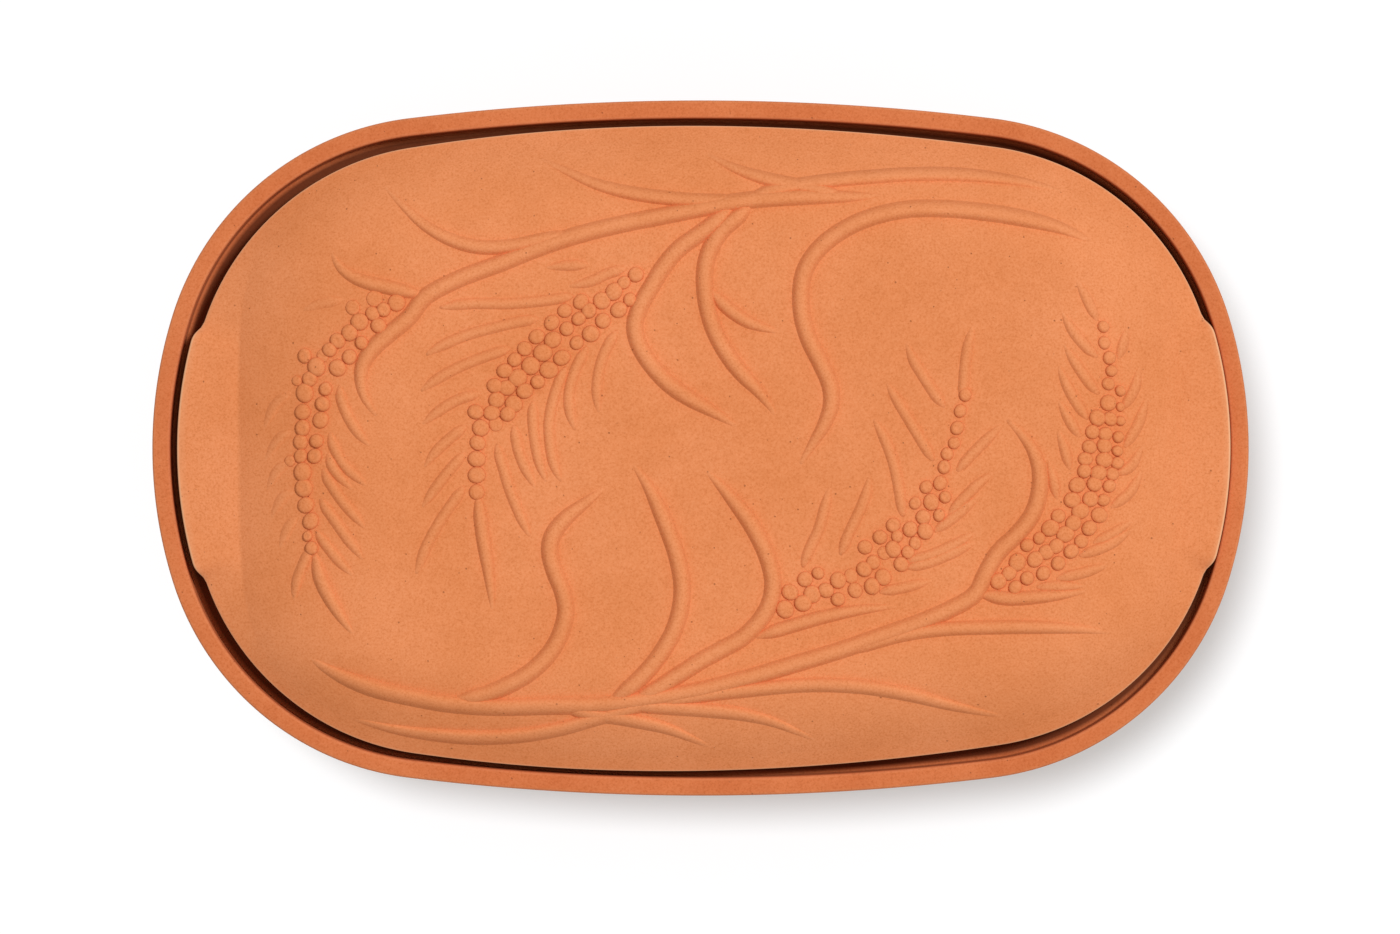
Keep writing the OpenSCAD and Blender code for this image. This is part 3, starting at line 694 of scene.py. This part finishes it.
def straight_bar(sections, sides):
    """Bar of unit length and radius along X, cut into sections, to be bent into each ridge."""
    deselect()
    bpy.ops.mesh.primitive_cylinder_add(
        vertices=sides, radius=1, depth=1, rotation=(0, pi / 2, 0))
    bar = bpy.context.object
    bpy.ops.object.transform_apply(rotation=True)
    edit("DESELECT")
    bpy.ops.mesh.select_mode(type="EDGE")
    select_where("edges", lambda e: abs(e.verts[0].co.x - e.verts[1].co.x) > 0.5)
    bpy.ops.mesh.subdivide(number_cuts=sections - 1)
    end_edit()
    bar["sections"] = sections
    # Across each half, painted shade darkens the outer two fifths at the feet, and paler clay,
    # partly rubbed and partly a painted highlight, pales the inner three fourths
    mark(bar, "crease", lambda v: RIDGE_CREASE_SHADE * smooth((abs(v.co.y) - 0.6) / 0.4))
    mark(bar, "worn", lambda v: RIDGE_WEAR_HIGHLIGHT * smooth(1 - abs(v.co.y) / 0.75) * (v.co.z > 0))
    return bar


def mark(piece, name, share):
    """Stores a share from 0 to 1 at each vertex, for the clay to read."""
    layer = piece.data.attributes.new(name, "FLOAT", "POINT")
    for v, item in zip(piece.data.vertices, layer.data):
        item.value = share(v)


def bend_ridge(bar, form, line_px, width, height, ends):
    """Copy of a bar, bent along a line on the dome and given a ridge's rounded section.
    It rises along a taper at its free tip and sinks along another at its root."""
    sections, dip = bar["sections"], form.relief.dip
    places, runs, full = through([form.on_lid(px) for px in line_px], sections)
    tip, root = min(ends[0], full * TIP_SHARE), min(ends[1], full * ROOT_SHARE)
    select_only(bar)
    bpy.ops.object.duplicate()
    ridge = bpy.context.object
    moved = []
    for v in ridge.data.vertices:
        i = round((v.co.x + 0.5) * sections)
        gone = full * i / sections
        share = sin(min(1, gone / tip, (full - gone) / root) * pi / 2)
        half = width / 2 * mix(END_WIDTH, 1, share)
        across = Vector((-runs[i].y, runs[i].x))
        q = places[i] + across * v.co.y * half
        z = form.top(q.x, q.y) - dip
        if v.co.z > -1e-4:
            z += (height + dip) * (1 - abs(v.co.y) ** CROWN_POWER) ** FOOT_POWER * share
        else:
            z += v.co.z * dip * 2
        moved += [q.x, q.y, z]
    ridge.data.vertices.foreach_set("co", moved)
    ridge.data.update()
    return ridge


def make_ridges(name, form, bar, *groups):
    """A piece of the lid: the bar bent along each group's lines, to its width and height."""
    piece = join_pieces(name, [
        bend_ridge(bar, form, line, *sizes) for lines, *sizes in groups for line in lines])
    bpy.data.objects.remove(bar)
    finish_lid(piece, form)


# The inputs of a node that maps one range to another
RANGE = "Value", "From Min", "From Max", "To Min", "To Max"


def new_nodes(owner):
    """Empties the node tree of a new material or world and gives what adds nodes to it."""
    owner.use_nodes = True
    owner.node_tree.nodes.clear()
    return functools.partial(add_node, owner.node_tree)


def add_node(tree, kind, inputs=(), **settings):
    """Adds a node with its settings. An input is given a value, a colour, an output of another
    node to link, or that node for its first output in use."""
    node = tree.nodes.new("ShaderNode" + kind)
    node.location = (180 * len(tree.nodes), 0)
    for name, value in settings.items():
        setattr(node, name, value)
    for name, value in dict(inputs).items():
        if isinstance(value, bpy.types.Node):
            value = next(socket for socket in value.outputs if socket.enabled)
        if isinstance(value, bpy.types.NodeSocket):
            tree.links.new(value, node.inputs[name])
        elif node.inputs[name].type == "RGBA":
            node.inputs[name].default_value = (*value, 1)
        else:
            node.inputs[name].default_value = value
    return node


def fired_clay(name, colour, cloud, colours):
    """Unglazed pressed earthenware, sponged smooth and fired once: dead matt, with soft redder
    clouds, a sandy grain under a millimetre, and a few pits where grit burnt or fell out."""
    material = bpy.data.materials.new(name)
    add = new_nodes(material)
    at = add("TexCoord").outputs["Object"]
    # Size in millimetres of the clouds from the drying and the fire, the mottling from the
    # sponge, the sandy grain and the soft unevenness from the press
    clouds, mottle, grain, soft = (
        add("TexNoise", {"Vector": at, "Scale": 1 / (size * MM), "Detail": detail,
                         "Roughness": roughness})
        for size, detail, roughness in ((38, 3, 0.55), (5.5, 4, 0.6), (0.75, 2, 0.7), (13, 2, 0.5)))
    sand = add("MapRange", zip(RANGE, (grain, 0.3, 0.7)))
    sand = add("Mix", {0: sand, 6: (0.94, 0.87, 0.77), 7: (1.06, 1.13, 1.23)}, data_type="RGBA")
    # Tiny pits of different widths, a few to each palm's breadth
    cells = add("TexVoronoi", {"Vector": at, "Scale": 1 / (2.6 * MM)})
    lot = add("SeparateColor", {"Color": cells.outputs["Color"]})
    chosen = add("MapRange", zip(RANGE, (lot, 0.8, 0.82)))
    edge = add("Math", {0: lot.outputs["Green"], 1: 0.07, 2: 0.07}, operation="MULTIPLY_ADD")
    inside = add("Math", {0: edge, 1: cells}, operation="SUBTRACT")
    inside = add("MapRange", zip(RANGE, (inside, 0, 0.07)))
    hole = add("Math", {0: inside, 1: chosen}, operation="MULTIPLY")
    # Shares that the modelling left on the mesh: painted shade in the creases, painted shade down
    # in the seat between lid and pot, and paler clay on rim, crests and lips that is rubbed wear,
    # on crests and lips partly a painted highlight
    crease_shade, baked, pale_wear_highlight = (add("Attribute", attribute_name=share).outputs["Fac"]
                           for share in ("crease", "baked", "worn"))
    tone = cloud
    # Each layer's source, the range of it that counts, the shares it gives, and its colour
    for *ranged, over, mode in (
            (clouds, 0.35, 0.68, 0, 1, colour, "MIX"),
            (mottle, 0.3, 0.75, 0, 0.3, [c * 1.13 for c in colour], "MIX"),
            (grain, 0, 1, 1, 1, sand, "MULTIPLY"),
            (grain, 0.28, 0.45, 0.25, 0, [c * 0.62 for c in cloud], "MIX"),
            (hole, 0, 1, 0, 0.55, colours.pit, "MIX"),
            (crease_shade, 0, 1, 0, 0.22, colours.crease, "MIX"),
            (baked, 0, 1, 0, 1, colours.seat, "MIX"),
            (pale_wear_highlight, 0, 1, 0, 0.8, colours.worn, "MIX")):
        share = add("MapRange", zip(RANGE, ranged))
        tone = add("Mix", {0: share, 6: tone, 7: over}, data_type="RGBA", blend_type=mode)
    # Heights in millimetres of the grain, the mottling and the unevenness, less the pits
    height = 0.0
    for part, rise in ((grain, 0.045), (mottle, 0.05), (soft, 0.1), (hole, -0.22)):
        height = add("Math", {0: part, 1: rise * MM, 2: height}, operation="MULTIPLY_ADD")
    rough = add("MapRange", zip(RANGE, (grain, 0.3, 0.7, 0.96, 0.86)))
    bump = add("Bump", {"Height": height, "Strength": 1.0, "Distance": 1.0})
    shader = add("BsdfPrincipled", {"Base Color": tone, "Roughness": rough, "Normal": bump,
                                    "IOR": 1.5, "Specular IOR Level": 0.22})
    add("OutputMaterial", {"Surface": shader})
    return material


def clay_of(body):
    """Clay of the lid or of the pot, made when its first piece is finished."""
    name = body.capitalize() + "_fired_earthenware"
    colours = bpy.context.scene.bread_pot_colours
    return bpy.data.materials.get(name) or fired_clay(
        name, getattr(colours, body), getattr(colours, body + "_cloud"), colours)


class BREADPOT_OT_pot(bpy.types.Operator):
    """Model the pot: its section is drawn, spun round the arcs of the oval and mirrored"""
    bl_idname = "breadpot.pot"
    bl_label = "Pot"

    def execute(self, context):
        pot = context.scene.bread_pot
        half = pot.length / 2
        foot = pot.lean + pot.lower_edge
        mouth = pot.rim_width + pot.mouth_lean
        ledge = pot.height - pot.ledge_depth
        inner = pot.lean + pot.wall
        low = pot.foot_height + pot.floor
        # Rounding of the foot ring, how far the section runs in under and over the floor, and the
        # strip of the ledge over which painted shade in the gap grows darker
        foot_round, run_under, run_over, strip = 1 * MM, 9 * MM, 8 * MM, 1.8 * MM
        # Inset from the rim, height, rounding and segments of each corner
        corners = (
            (foot + pot.foot_width + run_under, pot.foot_height, 0, 0),
            (foot + pot.foot_width + pot.foot_height / 2, pot.foot_height, foot_round, 3),
            (foot + pot.foot_width, 0, foot_round, 3),
            (foot, 0, foot_round, 3),
            (foot - MM, pot.foot_height, foot_round, 3),
            (pot.lean, pot.foot_height, pot.lower_edge - 2 * MM, 14),
            (0, pot.height, pot.rim_round, 5),
            (pot.rim_width, pot.height, pot.rim_round, 5),
            (mouth, ledge, 0.8 * MM, 3),
            (mouth + strip, ledge, 0, 0),
            (mouth + pot.ledge_width, ledge, 1.2 * MM, 4),
            (inner, low, pot.lower_edge - pot.wall / 2, 12),
            (inner + pot.lower_edge + run_over, low, 0, 0),
        )
        piece = draw_section("pot_shell", [(half - i, z, r, n) for i, z, r, n in corners])
        oval = Oval(half, pot.width / 2, pot.end_radius, pot.side_radius, pot.shoulder_radius)
        edit()
        for (middle, _, first, last), steps in zip(oval.arcs(), POT_STEPS):
            bpy.ops.mesh.spin(
                steps=steps, angle=first - last, center=(middle.x, middle.y, 0), axis=(0, 0, 1))
        end_edit()
        mirror = piece.modifiers.new("Other quarters", "MIRROR")
        mirror.use_axis = (True, True, False)
        mirror.merge_threshold = 0.02 * MM
        bpy.ops.object.modifier_apply(modifier=mirror.name)
        edit()
        bpy.ops.mesh.remove_doubles(threshold=0.01 * MM)
        edit()
        bpy.ops.mesh.fill_holes(sides=0)
        edit()
        bpy.ops.mesh.normals_make_consistent(inside=False)
        end_edit()
        # The rim's two roundings: its top millimetre or so, where that is tilted
        mark(piece, "worn", lambda v: RIM_WEAR * (
            v.co.z > pot.height - 1.3 * MM and 0.15 < v.normal.z < 0.97))
        # Painted shade on the ledge down in the gap, growing darker away from the mouth towards the
        # lid
        mark(piece, "baked", lambda v: SEAT_SHADE * smooth(
            (oval.inset_at(v.co.x, v.co.y) - mouth) / strip) * (abs(v.co.z - ledge) < MM / 2))
        finish_piece(piece, "pot", "pot")
        return {"FINISHED"}


class BREADPOT_OT_lid(bpy.types.Operator):
    """Model the lid's body: a filled loop, extruded ring by ring round the edge and dome"""
    bl_idname = "breadpot.lid"
    bl_label = "Lid"

    def execute(self, context):
        form = LidForm(context.scene)
        rings = form.rings()
        piece = loft("lid_shell", rings)
        first = next(i for i, ring in enumerate(rings)
                     if abs(ring[0].z - form.bevel_z + form.lid.lip_round) < 0.01 * MM)
        # Paler lip: partly rubbed wear, partly a painted highlight along the lip
        lip_pale_shares = dict(enumerate(LIP_WEAR_HIGHLIGHT, first))
        mark(piece, "worn", lambda v: lip_pale_shares.get(v.index // len(rings[0]), 0.0))
        # Painted shade: the edge grows darker over the first millimetres down its side, into the
        # gap
        mark(piece, "baked", lambda v: SEAT_SHADE * smooth((form.edge_z - v.co.z) / (4 * MM)) * (
            form.oval.inset_at(v.co.x, v.co.y) < form.lid.lip_round))
        finish_lid(piece, form, "lid")
        return {"FINISHED"}


class BREADPOT_OT_ridges(bpy.types.Operator):
    """Model the stems, leaves and fine awns: one bar each, copied and bent along its line"""
    bl_idname = "breadpot.ridges"
    bl_label = "Stems, leaves and awns"

    def execute(self, context):
        form = LidForm(context.scene)
        relief = form.relief
        stem = relief.stem_width, relief.stem_height
        leaf = relief.leaf_width, relief.leaf_height
        awn = relief.awn_width, relief.awn_height
        faint = relief.awn_width, relief.awn_height / 2
        make_ridges("stems", form, straight_bar(sections=90, sides=24),
                    (STEMS_PX, *stem, STEM_ENDS), (BRANCHES_PX, *stem, BRANCH_ENDS))
        make_ridges("leaves", form, straight_bar(sections=44, sides=24),
                    (LEAVES_PX, *leaf, LEAF_ENDS))
        make_ridges("awns", form, straight_bar(sections=22, sides=20),
                    (AWNS_PX, *awn, AWN_ENDS), (FAINT_AWNS_PX, *faint, AWN_ENDS))
        return {"FINISHED"}


def grain_bead(pressed):
    """A flattened bead of unit radius and height, with a shallow print in its top if pressed."""
    deselect()
    bpy.ops.mesh.primitive_uv_sphere_add(segments=16, ring_count=12, radius=1)
    bead = bpy.context.object
    edit()
    bpy.ops.mesh.bisect(
        plane_co=(0, 0, BEAD_CUT), plane_no=(0, 0, 1), use_fill=True, clear_inner=True)
    end_edit()
    for v in bead.data.vertices:
        if v.co.z > 0:
            v.co.z = 1 - (1 - v.co.z) ** BEAD_BLUNT
    if pressed:
        edit("DESELECT")
        select_where("verts", lambda v: v.co.z > PRINT_FROM)
        bpy.ops.transform.translate(value=(0, 0, -PRINT_DEPTH))
        end_edit()
    # Painted shade round the foot of each grain
    mark(bead, "crease", lambda v: BEAD_CREASE_SHADE * smooth(1 - v.co.z / 0.4))
    return bead


class BREADPOT_OT_grains(bpy.types.Operator):
    """Model the grains: one plump bead, copied to each place of the four ears"""
    bl_idname = "breadpot.grains"
    bl_label = "Grains"

    def execute(self, context):
        form = LidForm(context.scene)
        beads = [grain_bead(pressed) for pressed in (False, True)]
        made = []
        for places, fullness in ((GRAINS_PX, 1), (FAINT_GRAINS_PX, 0.45)):
            for k, (*middle_px, radius_px) in enumerate(places):
                x, y = form.on_lid(middle_px)
                radius = radius_px * form.per_px.x * GRAIN_SPREAD
                select_only(beads[k % 3 == 1])
                bpy.ops.object.duplicate()
                copy = bpy.context.object
                # Each is a little longer one way, turned its own way and of its own height:
                # 2.4, 1.9 and 0.618 only scatter these
                longer = 1 + 0.06 * sin(2.4 * k)
                tall = form.relief.grain_height * fullness * mix(0.85, 1.15, (k * 0.618) % 1)
                # The dome's tilt, from its heights half a millimetre away
                step = 0.5 * MM
                tilt = Vector((form.top(x - step, y) - form.top(x + step, y),
                               form.top(x, y - step) - form.top(x, y + step), 2 * step))
                copy.matrix_world = (
                    Matrix.Translation((x, y, form.top(x, y)))
                    @ Vector((0, 0, 1)).rotation_difference(tilt).to_matrix().to_4x4()
                    @ Matrix.Rotation(1.9 * k, 4, "Z")
                    @ Matrix.Diagonal((radius * longer, radius / longer, tall, 1)))
                bpy.ops.object.transform_apply(location=True, rotation=True, scale=True)
                made.append(copy)
        for bead in beads:
            bpy.data.objects.remove(bead)
        finish_lid(join_pieces("grains", made), form)
        return {"FINISHED"}


def sunk_white(name, colour):
    """Plain matt studio floor: white to the camera, with the object's shadow kept on it."""
    material = bpy.data.materials.new(name)
    add = new_nodes(material)
    matt, dim = (add("BsdfDiffuse", {"Color": tone}) for tone in (colour, [FLOOR_TONE] * 3))
    bright = add("Emission", {"Color": (1, 1, 1), "Strength": FLOOR_WHITE})
    shown = add("MixShader", {0: FLOOR_GLOW, 1: matt, 2: bright})
    seen = add("LightPath").outputs["Is Camera Ray"]
    add("OutputMaterial", {"Surface": add("MixShader", {0: seen, 1: dim, 2: shown})})
    return material


def add_lamp(name, kind, towards, energy, receivers):
    """A lamp that shines from a direction, on the pieces of one collection only."""
    light = bpy.data.lights.new(name, kind)
    light.energy = energy
    lamp = bpy.data.objects.new(name.lower(), light)
    bpy.context.scene.collection.objects.link(lamp)
    lamp.rotation_euler = towards.to_track_quat("Z", "Y").to_euler()
    lamp.light_linking.receiver_collection = receivers
    return lamp


class BREADPOT_OT_studio(bpy.types.Operator):
    """Set up the plain floor, the soft lamps and the camera that looks straight down"""
    bl_idname = "breadpot.studio"
    bl_label = "Studio"

    def execute(self, context):
        scene = context.scene
        studio = scene.bread_pot_studio
        pot = scene.bread_pot
        deselect()
        bpy.ops.mesh.primitive_plane_add(size=FLOOR_SIZE)
        floor = bpy.context.object
        floor.name = "floor"
        floor.data.materials.append(sunk_white("Studio_floor", studio.floor))
        floor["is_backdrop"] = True
        clay, ground = (bpy.data.collections.new(name) for name in ("Clay", "Ground"))
        for group, pieces in ((clay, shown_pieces()), (ground, [floor])):
            scene.collection.children.link(group)
            for piece in pieces:
                group.objects.link(piece)

        # Large soft lamp from the upper right of the picture, for the relief. Its power is what
        # gives its level at its distance
        key = add_lamp("Key", "AREA", KEY_WAY,
                       pi ** 2 * studio.key_level * studio.key_distance ** 2, clay)
        key.location = Vector((0, 0, pot.height)) + KEY_WAY * studio.key_distance
        key.data.shape = "DISK"
        key.data.size = studio.key_size
        key.data.color = studio.key

        # Overhead lamp for the floor, whose shadow falls towards the lower right
        over = add_lamp("Overhead", "SUN", OVERHEAD_WAY, pi * studio.floor_level, ground)
        over.data.angle = OVERHEAD_ANGLE

        scene.world = bpy.data.worlds.new("Studio")
        add = new_nodes(scene.world)
        sky, white = (add("Background", {"Color": tone, "Strength": level}) for tone, level in (
            (studio.sky, studio.sky_level), ((1, 1, 1), 1.0)))
        seen = add("LightPath").outputs["Is Camera Ray"]
        add("OutputWorld", {"Surface": add("MixShader", {0: seen, 1: sky, 2: white})})

        lens = bpy.data.cameras.new("Camera")
        per_px = pot.length / 2 / RIM_HALF_PX.x
        lens.lens = lens.sensor_width * studio.camera_distance / (per_px * PICTURE_PX.x)
        camera = bpy.data.objects.new("camera", lens)
        scene.collection.objects.link(camera)
        off = (PICTURE_PX / 2 - RIM_MIDDLE_PX) * per_px
        camera.location = (off.x, -off.y, pot.height + studio.camera_distance)
        scene.camera = camera
        scene.view_settings.view_transform = "Standard"
        return {"FINISHED"}


class BREADPOT_PT_panel(bpy.types.Panel):
    bl_idname = "BREADPOT_PT_panel"
    bl_label = "Bread Pot"
    bl_space_type = "VIEW_3D"
    bl_region_type = "UI"
    bl_category = "Bread Pot"

    def draw(self, context):
        layout = self.layout
        for kind in STEPS:
            layout.operator(kind.bl_idname)
        for name, group in GROUPS.items():
            box = layout.box()
            for key in group.__annotations__:
                box.prop(getattr(context.scene, name), key)


STEPS = (BREADPOT_OT_pot, BREADPOT_OT_lid, BREADPOT_OT_ridges, BREADPOT_OT_grains,
         BREADPOT_OT_studio)
GROUPS = {
    "bread_pot": PotSizes,
    "bread_pot_lid": LidSizes,
    "bread_pot_relief": ReliefSizes,
    "bread_pot_colours": ClayColours,
    "bread_pot_studio": StudioSizes,
}


def register():
    for kind in (*GROUPS.values(), *STEPS, BREADPOT_PT_panel):
        bpy.utils.register_class(kind)
    for name, group in GROUPS.items():
        setattr(bpy.types.Scene, name, bpy.props.PointerProperty(type=group))


def unregister():
    for name in GROUPS:
        delattr(bpy.types.Scene, name)
    for kind in (BREADPOT_PT_panel, *STEPS, *GROUPS.values()):
        bpy.utils.unregister_class(kind)


def main():
    """Registers the classes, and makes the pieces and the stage."""
    register()
    bpy.ops.breadpot.pot()
    bpy.ops.breadpot.lid()
    bpy.ops.breadpot.ridges()
    bpy.ops.breadpot.grains()
    bpy.ops.breadpot.studio()


if __name__ == "__main__":
    main()
